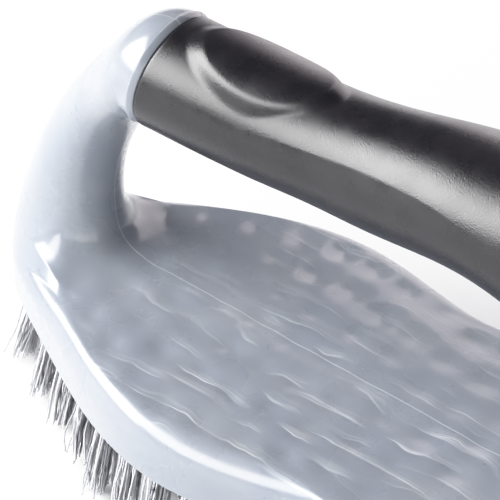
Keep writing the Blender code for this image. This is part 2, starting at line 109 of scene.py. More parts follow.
def make_camera():
    """A camera whose lens gives PIXELS_PER_MM at its aim, in a frame of FRAME_PIXELS."""
    right, up, back = camera_axes(AZIMUTH, ELEVATION, ROLL)
    data = bpy.data.cameras.new("camera")
    data.sensor_width = SENSOR_WIDTH
    data.lens = PIXELS_PER_MM * CAMERA_DISTANCE / FRAME_PIXELS * SENSOR_WIDTH
    data.clip_end = 20.0
    camera = bpy.data.objects.new("camera", data)
    place = (back * CAMERA_DISTANCE + CAMERA_AIM) * MM
    rows = np.column_stack([right, up, back, place])
    camera.matrix_world = Matrix([list(row) for row in rows] + [[0, 0, 0, 1]])
    bpy.context.scene.collection.objects.link(camera)
    bpy.context.scene.camera = camera
    return camera


camera = make_camera()
print("lens:", round(camera.data.lens, 1), "mm")

# %% [markdown]
# ## Tools for surfaces
#
# Every form of this brush is a stack of closed rings, like the contour lines of a hill. A ring is a
# row of points, a stack of rings is a grid, and a grid becomes a skin when each four neighbours get
# a face. Two small helpers give the curves: a smooth step and a natural spline.


# %% A smooth step and a natural spline
def smooth_step(value):
    """0 below 0, 1 above 1, and 3v^2 - 2v^3 between."""
    value = np.clip(value, 0.0, 1.0)
    return value * value * (3 - 2 * value)


def spline(knots, values, at):
    """Natural cubic spline: the bend at the knots solves one linear system, then cubics join them."""
    knots, values, at = np.asarray(knots, float), np.asarray(values, float), np.asarray(at, float)
    step = np.diff(knots)
    count = len(knots)
    inner = np.arange(1, count - 1)
    matrix = np.eye(count)
    matrix[inner, inner - 1] = step[:-1]
    matrix[inner, inner] = 2 * (step[:-1] + step[1:])
    matrix[inner, inner + 1] = step[1:]
    shape = (-1,) + (1,) * (values.ndim - 1)
    slope = np.diff(values, axis=0) / step.reshape(shape)
    bend = np.zeros_like(values)
    bend[1:-1] = 6 * np.diff(slope, axis=0)
    bend = np.linalg.solve(matrix, bend)
    span = np.clip(np.searchsorted(knots, at, side="right") - 1, 0, count - 2)
    width = step[span]
    a, b = (knots[span + 1] - at) / width, (at - knots[span]) / width
    if values.ndim > 1:
        a, b, width = a[..., None], b[..., None], width[..., None]
    curve = a * values[span] + b * values[span + 1]
    return curve + ((a ** 3 - a) * bend[span] + (b ** 3 - b) * bend[span + 1]) * width ** 2 / 6


print("half-way up the step:", smooth_step(0.5))


# %% A skin over a stack of rings
def grid_faces(rings, sides):
    """Corners of the quads between neighbouring rings: four shifted copies of one index table."""
    corner = np.arange(rings * sides).reshape(rings, sides)
    after = np.roll(corner, -1, axis=1)
    quads = np.stack([corner[:-1], after[:-1], after[1:], corner[1:]], axis=-1)
    return quads.reshape(-1, 4)


def mesh_from(name, points, faces, smooth=True):
    """A mesh from points in millimetres and faces of one size, written as whole arrays."""
    mesh = bpy.data.meshes.new(name)
    mesh.vertices.add(len(points))
    mesh.vertices.foreach_set("co", (points * MM).astype(np.float32).ravel())
    size = faces.shape[1]
    mesh.loops.add(faces.size)
    mesh.loops.foreach_set("vertex_index", faces.astype(np.int32).ravel())
    mesh.polygons.add(len(faces))
    mesh.polygons.foreach_set("loop_start", np.arange(0, faces.size, size, dtype=np.int32))
    mesh.polygons.foreach_set("use_smooth", np.full(len(faces), smooth))
    mesh.update(calc_edges=True)
    return mesh


def close_ends(stack):
    """Shrink a copy of the first and last ring to a point, so that the skin has no open end."""
    first = np.repeat(stack[:1].mean(axis=1, keepdims=True), stack.shape[1], axis=1)
    last = np.repeat(stack[-1:].mean(axis=1, keepdims=True), stack.shape[1], axis=1)
    return np.concatenate([first, stack, last])


MERGE_DISTANCE, FLAT_EDGE = 2e-6, 1e-6


def skin(name, stack, material, sharp=35.0):
    """A closed skin over a stack of rings; its poles are merged and its normals point outwards."""
    stack = close_ends(stack)
    rings, sides = stack.shape[:2]
    mesh = mesh_from(name, stack.reshape(-1, 3), grid_faces(rings, sides))
    merge_and_turn(mesh)
    mesh.set_sharp_from_angle(angle=math.radians(sharp))
    mesh.materials.append(material)
    piece = bpy.data.objects.new(name, mesh)
    bpy.context.scene.collection.objects.link(piece)
    print(name, len(mesh.polygons), "faces")
    return piece


def merge_and_turn(mesh):
    """Merge double points, drop the faces that this flattens, and turn the normals outwards."""
    bm = bmesh.new()
    bm.from_mesh(mesh)
    bmesh.ops.remove_doubles(bm, verts=bm.verts, dist=MERGE_DISTANCE)
    bmesh.ops.dissolve_degenerate(bm, edges=bm.edges, dist=FLAT_EDGE)
    bmesh.ops.recalc_face_normals(bm, faces=bm.faces)
    bm.to_mesh(mesh)
    bm.free()


# %% [markdown]
# ## Materials as node trees
#
# A finish is a chain of small patterns: clouds of colour, lines of flow and a fine grain. A short
# helper adds a node, sets its plain values and links its inputs, so that each finish reads as a list.


# %% Helpers for node trees
def new_material(name):
    """A material with one Principled shader; gives the material, its nodes and the shader."""
    material = bpy.data.materials.new(name)
    material.use_nodes = True
    shader = material.node_tree.nodes["Principled BSDF"]
    return material, material.node_tree, shader


def node(tree, kind, settings=None, **inputs):
    """A node with settings as attributes and inputs as numbers, or as sockets to link from."""
    made = tree.nodes.new("ShaderNode" + kind)
    for key, value in (settings or {}).items():
        setattr(made, key, value)
    for key, value in inputs.items():
        spot = int(key[1:]) if key[0] == "_" else key.replace("_", " ")
        if isinstance(value, bpy.types.NodeSocket):
            tree.links.new(value, made.inputs[spot])
        else:
            made.inputs[spot].default_value = value
    return made


def math_node(tree, operation, first, second=0.0, third=0.0, clamp=False):
    """The result socket of one Math node."""
    settings = {"operation": operation, "use_clamp": clamp}
    return node(tree, "Math", settings, _0=first, _1=second, _2=third).outputs[0]


def ramp(tree, value, low, high, at_low=0.0, at_high=1.0, kind="SMOOTHSTEP"):
    """A smooth rise from at_low to at_high as value goes from low to high."""
    made = node(tree, "MapRange", {"interpolation_type": kind}, Value=value)
    for key, number in (("From Min", low), ("From Max", high), ("To Min", at_low), ("To Max", at_high)):
        made.inputs[key].default_value = number
    return made.outputs[0]


def mix_colour(tree, share, first, second, blend="MIX"):
    """A colour between two, by a share from 0 to 1."""
    made = tree.nodes.new("ShaderNodeMix")
    made.data_type = "RGBA"
    made.blend_type = blend
    for spot, value in ((0, share), (6, first), (7, second)):
        if isinstance(value, bpy.types.NodeSocket):
            tree.links.new(value, made.inputs[spot])
        elif spot == 0:
            made.inputs[spot].default_value = value
        else:
            made.inputs[spot].default_value = (*value, 1.0)
    return made.outputs[2]


def object_points(tree, scale=(1.0, 1.0, 1.0), place=(0.0, 0.0, 0.0), turn=(0.0, 0.0, 0.0)):
    """Object coordinates through a Mapping node; the unit is one metre times scale."""
    where = node(tree, "TexCoord").outputs["Object"]
    return node(tree, "Mapping", Vector=where, Location=place, Rotation=turn, Scale=scale).outputs[0]


def noise(tree, points, scale, detail=2.0, roughness=0.5, distortion=0.0):
    """The value socket of a noise pattern with scale features to the metre."""
    return node(tree, "TexNoise", Vector=points, Scale=scale, Detail=detail, Roughness=roughness,
                Distortion=distortion).outputs[0]


print("helpers ready")

# %% [markdown]
# ## The pearl-grey plastic
#
# The moulding is a clear-ish plastic filled with fine pearl. Its skin is glossy, and its body lets a
# little light in, so I use a Principled shader with a thin coat and some subsurface scattering. The
# melt left soft clouds and fine silvery flow lines along the deck, and the tufts under the deck
# left shallow sink marks in rows. Beside each flow line, the colour has a painted highlight on one
# side and a painted shade on the other. A thin parting line runs down the middle. The sink marks are
# wide enough to be real hollows in the mesh, and the lines are so fine that a node tree draws them.


# %% Flow lines
WIDE_PITCH, NARROW_PITCH, LINE_BEND = 0.0072, 0.0053, 0.013
CREST_WIDTH, HIGHLIGHT_BAND_WIDTH, SHADE_WIDTH = 0.00035, 0.0026, 0.0022


def flow_lines(tree, along, across, pitch, turns, seed):
    """Wavy lines along X every pitch metres: a thin crest, a painted highlight beside it and a painted
    shade opposite.

    A slow noise, with turns waves to the metre, bends the lines. A second one, sampled afresh for
    each line, lets it come and go. A third, drawn out along the lines, splits them into hairs.
    """
    waves = object_points(tree, (turns, turns * 1.4, 1.0), (seed, seed, seed))
    bend = noise(tree, waves, 1.0, 3.0, 0.55)
    bent = math_node(tree, "MULTIPLY_ADD", bend, LINE_BEND, across)
    count = math_node(tree, "DIVIDE", bent, pitch)
    number = math_node(tree, "FLOOR", count)
    off = math_node(tree, "SUBTRACT", math_node(tree, "FRACT", count), 0.5)
    off = math_node(tree, "MULTIPLY", off, pitch)
    place = node(tree, "CombineXYZ", X=math_node(tree, "MULTIPLY", along, turns * 1.5),
                 Y=math_node(tree, "MULTIPLY_ADD", number, 3.7, seed))
    present = ramp(tree, noise(tree, place.outputs[0], 1.0, 1.5), 0.45, 0.68)
    hairs = node(tree, "CombineXYZ", X=math_node(tree, "MULTIPLY", along, 70.0),
                 Y=math_node(tree, "MULTIPLY_ADD", bent, 1500.0, seed))
    hairs = ramp(tree, noise(tree, hairs.outputs[0], 1.0, 1.0), 0.38, 0.66, 0.25, 1.25)
    crest = ramp(tree, math_node(tree, "ABSOLUTE", off), CREST_WIDTH, 0.0)
    crest = math_node(tree, "MULTIPLY", crest, hairs)
    # The lighter band and the darker band are painted highlight and painted shade on either side of the
    # crest.
    highlight_edge, shade_edge = ramp(tree, off, -0.0005, 0.0002), ramp(tree, off, 0.0, -0.0003)
    highlight_band = math_node(tree, "MULTIPLY", ramp(tree, off, HIGHLIGHT_BAND_WIDTH, 0.0), highlight_edge)
    highlight_band = math_node(tree, "MULTIPLY", highlight_band, hairs)
    shade = math_node(tree, "MULTIPLY", ramp(tree, off, -SHADE_WIDTH, -0.0004), shade_edge)
    return [math_node(tree, "MULTIPLY", part, present) for part in (crest, highlight_band, shade)]


print("a line every", round(WIDE_PITCH / MM, 1), "mm and every", round(NARROW_PITCH / MM, 1), "mm")


# %% The pearl-grey plastic
DECK_Z = RIM_HEIGHT * MM


def pearl_plastic():
    """Clouds of two greys, silvery flow lines along X with a painted highlight and painted shade, and a
    thin parting line.
    """
    material, tree, shader = new_material("pearl_grey_plastic")
    where = object_points(tree)
    axes = node(tree, "SeparateXYZ", Vector=where)
    along, across, height = axes.outputs
    clouds = noise(tree, where, 42.0, 3.0, 0.5, 0.4)
    clouds = ramp(tree, clouds, 0.35, 0.68)
    colour = mix_colour(tree, clouds, (0.208, 0.230, 0.270), (0.244, 0.262, 0.296))
    brushed = noise(tree, object_points(tree, (150.0, 150.0, 22.0)), 1.0, 2.0)
    above_deck = ramp(tree, height, DECK_Z + 0.0025, DECK_Z + 0.0115)
    brushed = math_node(tree, "MULTIPLY", ramp(tree, brushed, 0.45, 0.75), above_deck)
    colour = mix_colour(tree, math_node(tree, "MULTIPLY", brushed, 0.22), colour, (0.42, 0.43, 0.45))

    on_deck = ramp(tree, height, DECK_Z - 0.0013, DECK_Z + 0.0003)
    below_neck = ramp(tree, height, DECK_Z + 0.0075, DECK_Z + 0.0035)
    deck = math_node(tree, "MULTIPLY", on_deck, below_neck)
    wide = flow_lines(tree, along, across, WIDE_PITCH, 26.0, 0.0)
    narrow = flow_lines(tree, along, across, NARROW_PITCH, 38.0, 5.3)
    deck = math_node(tree, "MULTIPLY", deck, ramp(tree, across, 0.016, -0.004, 0.45, 1.0))
    deck = math_node(tree, "MULTIPLY", deck, ramp(tree, along, -0.046, -0.026, 0.0, 1.0))
    # Beside each silvery crest the lines bring a painted highlight and a painted shade, at full
    # strength on the deck's near half and at 0.45 of it on the far side.
    line, highlight_band, shade = (math_node(tree, "MULTIPLY", math_node(tree, "MAXIMUM", *both), deck)
                         for both in zip(wide, narrow))
    colour = mix_colour(tree, math_node(tree, "MULTIPLY", shade, 0.16), colour, (0.12, 0.13, 0.16))
    colour = mix_colour(tree, math_node(tree, "MULTIPLY", highlight_band, 0.36), colour, (0.60, 0.61, 0.63))
    colour = mix_colour(tree, math_node(tree, "MULTIPLY", line, 0.30), colour, (0.66, 0.67, 0.69))

    wander = math_node(tree, "MULTIPLY_ADD", noise(tree, where, 60.0, 1.0), 0.0006, -0.0003)
    off_middle = math_node(tree, "ABSOLUTE", math_node(tree, "ADD", across, wander))
    seam = ramp(tree, off_middle, 0.00019, 0.00004)
    above_wall = math_node(tree, "GREATER_THAN", height, DECK_Z - 0.001)
    seam = math_node(tree, "MULTIPLY", seam, above_wall)
    colour = mix_colour(tree, math_node(tree, "MULTIPLY", seam, 0.42), colour, (0.60, 0.61, 0.62))
    tree.links.new(colour, shader.inputs["Base Color"])

    skin_wave = noise(tree, where, 110.0, 2.0)
    ripples = node(tree, "Bump", Height=skin_wave, Distance=0.0002, Strength=0.35)
    crests = math_node(tree, "MAXIMUM", line, seam)
    relief = math_node(tree, "ADD", crests, math_node(tree, "SUBTRACT", highlight_band, shade))
    lines = node(tree, "Bump", Height=relief, Distance=0.00007, Strength=0.5,
                 Normal=ripples.outputs[0])
    tree.links.new(lines.outputs[0], shader.inputs["Normal"])

    smudge = ramp(tree, noise(tree, where, 90.0, 3.0), 0.3, 0.7, 0.24, 0.32)
    tree.links.new(smudge, shader.inputs["Roughness"])
    shader.inputs["Subsurface Weight"].default_value = 0.18
    shader.inputs["Subsurface Radius"].default_value = (1.0, 1.0, 1.1)
    shader.inputs["Subsurface Scale"].default_value = 0.003
    shader.inputs["Specular IOR Level"].default_value = 0.4
    shader.inputs["Coat Weight"].default_value = 0.62
    shader.inputs["Coat Roughness"].default_value = 0.13
    shader.inputs["IOR"].default_value = 1.5
    return material


pearl = pearl_plastic()
print(pearl.name, len(pearl.node_tree.nodes), "nodes")

# %% [markdown]
# ## The block's outline
#
# Seen from above the block is a drop with a waist: a pointed nose, a broad front lobe, a waist for
# the hand's clearance and a smaller rear lobe. One closed spline through a few half widths gives it.


# %% The outline and lines set in from it
def block_outline(samples=4320):
    """A closed natural spline through stations (share of the length, half width), mirrored in Y."""
    half, waist, lobe = BLOCK_WIDTH / 2, WAIST_WIDTH / 2, LOBE_WIDTH / 2
    shares = np.array([0.0, 0.018, 0.068, 0.163, 0.279, 0.445, 0.675, 0.845, 0.958, 1.0])
    widths = np.array([0.0, 0.213, 0.391, 0.607, 0.843, 1.0, waist / half, lobe / half,
                       0.665 * lobe / half, 0.0]) * half
    side = np.stack([NOSE_X + shares * BLOCK_LENGTH, widths], axis=1)
    loop = np.vstack([side, (side[1:-1] * [1, -1])[::-1]])
    shared = 4
    wrapped = np.vstack([loop[-shared:], loop, loop[:shared + 1]])
    along = np.r_[0, np.cumsum(np.linalg.norm(np.diff(wrapped, axis=0), axis=1))]
    places = np.linspace(along[shared], along[shared + len(loop)], samples, endpoint=False)
    return spline(along, wrapped, places)


def inset_loop(loop, distance):
    """The loop moved inwards: each point goes along the normal of its two neighbours' chord."""
    tangent = np.roll(loop, -1, axis=0) - np.roll(loop, 1, axis=0)
    tangent /= np.linalg.norm(tangent, axis=1)[:, None]
    return loop + np.stack([tangent[:, 1], -tangent[:, 0]], axis=1) * distance


def ring_places(loop, centre_x, sides):
    """Places on the loop, shared out half by length and half by turn about the neck's root."""
    bearing = np.unwrap(np.arctan2(loop[:, 1], loop[:, 0] - centre_x))
    length = np.linalg.norm(np.roll(loop, -1, axis=0) - loop, axis=1)
    turn = np.abs(np.diff(bearing, append=bearing[0] - math.tau))
    reached = np.r_[0, np.cumsum(length / length.sum() + turn / math.tau)]
    return np.interp(np.arange(sides) * reached[-1] / sides, reached, np.arange(len(loop) + 1))


def points_at(loop, places):
    """Points of a dense closed loop at fractional places, by straight interpolation."""
    closed = np.vstack([loop, loop[:1]])
    whole = np.arange(len(closed))
    return np.stack([np.interp(places, whole, closed[:, k]) for k in (0, 1)], axis=1)


outline = block_outline()
print("outline:", np.ptp(outline, axis=0).round(1), "mm")


# %% Places of the tufts
def tuft_row(x):
    """Tuft holes of one row, spread evenly over the field's width at x, with their share of it."""
    upper = field[:len(field) // 2 + 1]
    reach = float(np.interp(x, upper[:, 0], upper[:, 1]))
    count = int(round(2 * reach / TUFT_PITCH)) + 1
    across = np.linspace(-reach, reach, count)
    return np.stack([np.full(count, x), across, across / reach], axis=1)


field = inset_loop(outline, TUFT_MARGIN)
first_row_x = NOSE_X + TUFT_MARGIN + END_SETBACK
rows_x = np.linspace(first_row_x, -first_row_x, ROW_COUNT)
tufts = [tuft_row(x) for x in rows_x]
print("tufts:", sum(len(row) for row in tufts))

# %% [markdown]
# ## The moulding
#
# Block, neck and collar came out of one mould, so one skin covers them all. Its rings start under
# the block, climb the side wall, run over the rounded rim and the crowned deck to the neck's root,
# follow the neck's curve up and back, and end behind the collar inside the grip. At the nose there
# is no room for a deck, and the wall sweeps straight up into the neck.


# %% Rings of the block's underside, wall and deck
def lifted(points, height):
    """Plan points at a height each."""
    return np.column_stack([points, np.broadcast_to(np.asarray(height, float), len(points))])


def underside_rings(places):
    """Flat underside as shrunk copies of the outline, then the small round at the wall's foot."""
    foot = points_at(inset_loop(outline, FOOT_ROUND), places)
    flat = [lifted(foot * share, DECK_FOOT) for share in (0.03, 0.2, 0.4, 0.6, 0.8, 0.95, 1.0)]
    turns = np.radians([22.5, 45.0, 67.5, 90.0])
    insets = FOOT_ROUND * (1 - np.sin(turns))
    heights = DECK_FOOT + FOOT_ROUND * (1 - np.cos(turns))
    rounds = [lifted(points_at(inset_loop(outline, i), places), z) for i, z in zip(insets, heights)]
    return np.array(flat + rounds)


def bezier(start, leave, arrive, end, share):
    """A cubic Bezier curve; leave and arrive are its handles next to start and end."""
    rest = 1 - share
    near = rest ** 3 * start + 3 * rest ** 2 * share * leave
    return near + 3 * rest * share ** 2 * arrive + share ** 3 * end


def softly_least(first, second):
    """The lesser of two lengths with a smooth passage, from the sum of their inverse sixth powers."""
    return (first ** -6.0 + second ** -6.0) ** (-1 / 6)


RIM_END, DECK_END, TOP_END = 5, 10, 17


def top_rings(outer, root, rise, steps):
    """The block's top: the rim up to step RIM_END, the deck to DECK_END, the fillet to TOP_END.

    The rings run inwards on straight lines from the outline to the root ring. The rim is a quarter
    of an ellipse and the deck a shallow parabola. The fillet is a Bezier curve that leaves along
    the deck and arrives along rise, the neck's own slope. Where a line is short, at the nose,
    one Bezier curve sweeps from the wall straight up into the neck instead.
    """
    s = np.asarray(steps)[:, None]
    across = root[:, :2] - outer
    ray = np.linalg.norm(across, axis=1)
    inwards = lifted(across / ray[:, None], 0.0)
    shoulder = softly_least(RIM_SHOULDER, RIM_SHARE * ray)
    drop = RIM_DROP * shoulder / RIM_SHOULDER
    fillet = softly_least(NECK_FILLET, ray - shoulder - DRAFT)

    def top(inward, below=0.0):
        height = RIM_HEIGHT + CROWN * (1 - (1 - inward / ray) ** 2) - below
        return np.concatenate([outer + inwards[:, :2] * inward[..., None], height[..., None]], axis=-1)

    foot = top(ray - fillet)
    sweep = 1 / (1 + (ray / SWEEP_RAY) ** 3)[:, None]
    deck_hold = DECK_HOLD + (SHORT_HOLD - DECK_HOLD) * sweep
    neck_hold = NECK_HOLD + (SHORT_HOLD - NECK_HOLD) * sweep
    along_deck = inwards + UP * CROWN * 2 * (fillet / ray ** 2)[:, None]
    leave = foot + along_deck * deck_hold * fillet[:, None]
    arrive = root - rise * neck_hold * (root - foot)[:, 2:]
    turn = np.radians(90 / RIM_END * np.minimum(s, RIM_END))
    start = (DRAFT + shoulder) * (1 - np.cos(turn))
    crossed = np.clip((s - RIM_END) / (DECK_END - RIM_END), 0, 1)
    climbed = np.clip((s[..., None] - DECK_END) / (TOP_END - DECK_END), 0, 1)
    over = top(start + (ray - fillet - start) * crossed, drop * (1 - np.sin(turn)))
    over += bezier(foot, leave, arrive, root, climbed) - foot
    wall = lifted(outer, RIM_HEIGHT - RIM_DROP)
    climb = (root - wall)[:, 2:]
    leave, arrive = wall + UP * RIM_HOLD * climb, root - rise * NOSE_HOLD * climb
    swept = bezier(wall, leave, arrive, root, s[..., None] / TOP_END)
    return over + (swept - over) * sweep


print("the lesser of 5 and 6, softly:", round(softly_least(5.0, 6.0), 2))


# %% Lines of the neck and the handle
COLLAR_FACE = np.array([COLLAR_X, HANDLE_Z])
COLLAR_AXIS = np.array([math.cos(HANDLE_TILT), -math.sin(HANDLE_TILT)])
GRIP_SHARES = (0.0, 0.20, 0.37, 0.53, 0.67, 0.79, 0.90, 1.0)
NECK_END = 0.95


def neck_path(t):
    """A cubic Bezier curve in the XZ plane from the neck's foot up to the collar."""
    t = np.asarray(t, float)[..., None]
    foot = np.array([NOSE_X + NECK_FROM_NOSE, RIM_HEIGHT])
    climb = foot + [0.0, NECK_CLIMB]
    arrival = COLLAR_FACE - NECK_ARRIVAL * np.array([math.cos(HANDLE_TILT), math.sin(HANDLE_TILT)])
    return bezier(foot, climb, arrival, COLLAR_FACE, t)


def handle_path(along):
    """Centre line of the handle: level, then rising a few millimetres towards the free end."""
    rises = np.array((0.0, -0.02, 0.03, 0.33, 0.83, 1.0, 0.87, 0.65)) * POMMEL_RISE
    along = np.asarray(along, float)
    height = HANDLE_Z + spline(GRIP_SHARES, rises, along)
    return np.stack([COLLAR_X + along * GRIP_LENGTH, height], axis=-1)


def lean_across(path, at, reach=0.01):
    """Turn of a section square to the path: a quarter turn less the path's own slope."""
    step = path(at + reach) - path(at - reach)
    return math.pi / 2 - np.arctan2(step[..., 1], step[..., 0])


def handle_lean(along):
    """Sections lean with the collar at first, and stand square to the handle's line after that."""
    tilted = math.pi / 2 + HANDLE_TILT
    square = lean_across(handle_path, np.maximum(along, 0.01))
    return tilted + (square - tilted) * smooth_step(along / 0.16)


print("neck ends at", neck_path(NECK_END).round(1))


# %% Rings of the neck and the collar
SQUARE_REACH, EVEN_REACH, TURN_START, TURN_REACH = 0.2, 0.4, 0.77, 0.18
AXIS_START, AXIS_REACH, COLLAR_INSET = 0.78, 0.17, 0.3


def section_rings(centre, lean, thick, wide, angles):
    """Ovals round points of the XZ plane: cos goes along the leaning diameter, sin along Y."""
    centre, lean = np.atleast_2d(centre), np.atleast_1d(lean)[:, None]
    thick, wide = np.atleast_1d(thick)[:, None], np.atleast_1d(wide)[:, None]
    forward = thick * np.cos(angles)
    return np.stack([centre[:, :1] + forward * np.cos(lean), wide * np.sin(angles) + 0 * lean,
                     centre[:, 1:] - forward * np.sin(lean)], axis=-1)


def neck_rings(bearing, even, stations):
    """Sections up the neck: flat at the root, square to the arm, then upright in the collar's hump.

    The corners keep the block's bearings at the root and are spread evenly further up.
    """
    arm, narrow, flared = ARM_THICKNESS / 2, ROOT_WIDTH / 2, COLLAR_RADIUS - COLLAR_INSET
    knots = (ROOT_SHARE, 0.35, 0.47, 0.60, 0.74, 0.83, 0.90, 0.97)
    thinning = np.array((1.0, 0.44, 0.15, 0.0, 0.0, 0.0, 0.0, 0.0))
    swelling = np.array((0.0, 0.0, 0.0, 0.0, 0.04, 0.27, 0.81, 1.0))
    widening = np.array((0.0, -0.06, 0.03, 0.26, 0.56, 0.76, 0.85, 1.0))
    thick = arm + (ROOT_LENGTH / 2 - arm) * thinning + (flared - arm) * swelling
    wide = narrow + (flared - narrow) * widening
    thick, wide = spline(knots, thick, stations), spline(knots, wide, stations)
    spread = smooth_step((stations - ROOT_SHARE) / EVEN_REACH)[:, None]
    angles = bearing * (1 - spread) + even * spread
    square = lean_across(neck_path, stations) * smooth_step((stations - ROOT_SHARE) / SQUARE_REACH)
    turned = smooth_step((stations - TURN_START) / TURN_REACH)
    middle = neck_path(stations)
    back = (COLLAR_X - middle[:, :1]) / COLLAR_AXIS[0]
    on_axis = COLLAR_FACE - COLLAR_AXIS * back
    middle = middle + (on_axis - middle) * smooth_step((stations - AXIS_START) / AXIS_REACH)[:, None]
    lean = square + (math.pi / 2 + HANDLE_TILT - square) * turned
    return section_rings(middle, lean, thick, wide, angles)


def collar_rings(even):
    """The collar's thin rounded lip, its end face and the bar inside the grip."""
    back = np.array([1.0, 0.92, 0.82, 0.70, 0.58, 0.12, 0.04, 0.0, 0.0]) * COLLAR_LIP
    seat = COLLAR_RADIUS - CORE_RADIUS
    radius = COLLAR_RADIUS - np.array([0.40, 0.12, 0.0, 0.02, 0.10, 0.50, 0.60, 0.75, seat])
    centre = COLLAR_FACE - COLLAR_AXIS * back[:, None]
    lean = np.full(len(back), math.pi / 2 + HANDLE_TILT)
    lip = section_rings(centre, lean, radius, radius, even)
    end = 1 - GRIP_END_WALL / GRIP_LENGTH
    along = np.r_[np.linspace(0.08, end - 0.01, 14), end]
    thick = np.r_[np.full(len(along) - 1, CORE_RADIUS), CORE_RADIUS - 1]
    bar = section_rings(handle_path(along), handle_lean(along), thick, thick, even)
    return np.concatenate([lip, bar])


print("collar's face:", 2 * COLLAR_RADIUS, "mm across, bar:", 2 * CORE_RADIUS, "mm")


# %% Sink marks over the tufts
SINK_DEPTH, SINK_WIDTH, SINK_WANDER = 0.45, 2.4, 0.45
SHALLOW_TO_DEEP, NARROW_TO_WIDE = (0.55, 1.3), (0.85, 1.2)


def sink_marks(points, steps):
    """Lower the deck by a shallow round hollow over each tuft hole, less at the rim and the fillet.

    The hollows are bell curves, and each has its own depth, width and a place a little off its
    hole.
    """
    holes = np.concatenate(tufts)[:, :2]
    chance = np.random.default_rng(5)
    holes = holes + chance.normal(0, SINK_WANDER, holes.shape)
    depth = SINK_DEPTH * chance.uniform(*SHALLOW_TO_DEEP, len(holes))
    width = SINK_WIDTH * chance.uniform(*NARROW_TO_WIDE, len(holes))
    away = ((points[..., None, :2] - holes) ** 2).sum(axis=-1)
    hollow = (depth * np.exp(-away / (2 * width ** 2))).sum(axis=-1)
    off_rim = smooth_step((steps - RIM_END + 3.0) / 2.5)
    share = off_rim * (1 - smooth_step((steps - DECK_END - 0.5) / 3.0))
    lowered = points.copy()
    lowered[..., 2] -= hollow * share[:, None]
    return lowered


print("deepest mark:", round(SINK_DEPTH * SHALLOW_TO_DEEP[1], 2), "mm")


# %% One skin for the whole moulding
def body_stack(sides=320):
    """All rings of the moulding in order, from the middle of the underside to the bar's end."""
    root_x = neck_path(ROOT_SHARE)[0]
    places = ring_places(outline, root_x, sides)
    outer = points_at(outline, places)
    bearing = np.unwrap(np.arctan2(outer[:, 1], outer[:, 0] - root_x))
    bearing += math.pi - bearing[0]
    angles = np.unwrap(np.arctan2(np.sin(bearing) / ROOT_WIDTH, np.cos(bearing) / ROOT_LENGTH))
    angles += math.pi - angles[0]
    even = math.pi - np.arange(sides) * math.tau / sides
    neck = neck_rings(angles, even, np.linspace(ROOT_SHARE, NECK_END, 56))
    rise = neck_rings(angles, even, np.array([ROOT_SHARE + 0.001]))[0] - neck[0]
    rise /= np.linalg.norm(rise, axis=1)[:, None]
    steps = np.r_[np.linspace(0, RIM_END, 15), np.linspace(RIM_END + 0.08, DECK_END - 0.08, 62),
                  np.linspace(DECK_END, TOP_END - 0.3, 24)]
    top = sink_marks(top_rings(outer, neck[0], rise, steps), steps)
    return np.concatenate([underside_rings(places), top, neck, collar_rings(even)])


body = skin("moulded_body", body_stack(), pearl)
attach(body, "root")
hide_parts("brush_body")

# %% [markdown]
# ## The soft grip
#
# The grip is a black elastomer moulded over the handle's core. Its surface is satin, with a fine
# spark-eroded grain that scatters a highlight into specks, and lighter specks are painted into its
# colour as glints of that grain. It is close to black, so nearly all that the eye sees is its broad,
# soft reflection. The grain is about as fine as a pixel, so a Bump node makes it, while the thumb pad
# and the crease along each flank are forms of the mesh.


# %% The soft black elastomer
def soft_elastomer():
    """Near black with a faint mottle, painted glints as lighter specks, a fine grain in the bump, and a
    broad soft reflection.
    """
    material, tree, shader = new_material("black_soft_grip")
    where = object_points(tree)
    mottle = noise(tree, where, 160.0, 3.0)
    patch = ramp(tree, mottle, 0.35, 0.7)
    tone = mix_colour(tree, patch, (0.0042, 0.0034, 0.0052), (0.007, 0.0058, 0.0082))
    # Lighter specks painted into the colour stand for the glints of the grain.
    painted_glints = ramp(tree, noise(tree, where, 2600.0, 1.0, 0.6), 0.55, 0.75)
    tone = mix_colour(tree, math_node(tree, "MULTIPLY", painted_glints, 0.5), tone, (0.018, 0.018, 0.019))
    tree.links.new(tone, shader.inputs["Base Color"])
    grain = noise(tree, where, 4200.0, 0.0)
    fine = node(tree, "Bump", Height=grain, Distance=0.00006, Strength=0.5)
    tree.links.new(fine.outputs[0], shader.inputs["Normal"])
    worn = ramp(tree, mottle, 0.3, 0.7, 0.25, 0.31)
    tree.links.new(worn, shader.inputs["Roughness"])
    shader.inputs["Specular IOR Level"].default_value = 0.54
    return material


elastomer = soft_elastomer()
print(elastomer.name, len(elastomer.node_tree.nodes), "nodes")


# %% The sleeve with its thumb pad
CLOSING = 0.88


def grip_half_sizes(along):
    """Half height and half width of the grip; past CLOSING it shuts as a quarter of an ellipse."""
    waist, pommel, half = GRIP_WAIST, POMMEL_RADIUS, POMMEL_WIDTH / 2
    high = (GRIP_RADIUS, waist + 0.2, waist, waist + 0.6, waist + 1.0,
            pommel - 2.0, pommel, pommel - 1.2)
    wide = (GRIP_RADIUS, waist + 0.4, waist + 0.2, waist + 1.1, half - 1.9,
            half - 0.6, half, half - 0.9)
    closing = np.sqrt(np.maximum(0.0, 1 - (np.maximum(along - CLOSING, 0.0) / (1 - CLOSING)) ** 2))
    return spline(GRIP_SHARES, high, along) * closing, spline(GRIP_SHARES, wide, along) * closing


def outward_from(centre, rings):
    """Unit vectors from the centre line of the XZ plane to the corners of its rings."""
    middle = np.stack([centre[:, 0], 0 * centre[:, 0], centre[:, 1]], axis=1)[:, None]
    outward = rings - middle
    return outward / np.linalg.norm(outward, axis=2, keepdims=True)


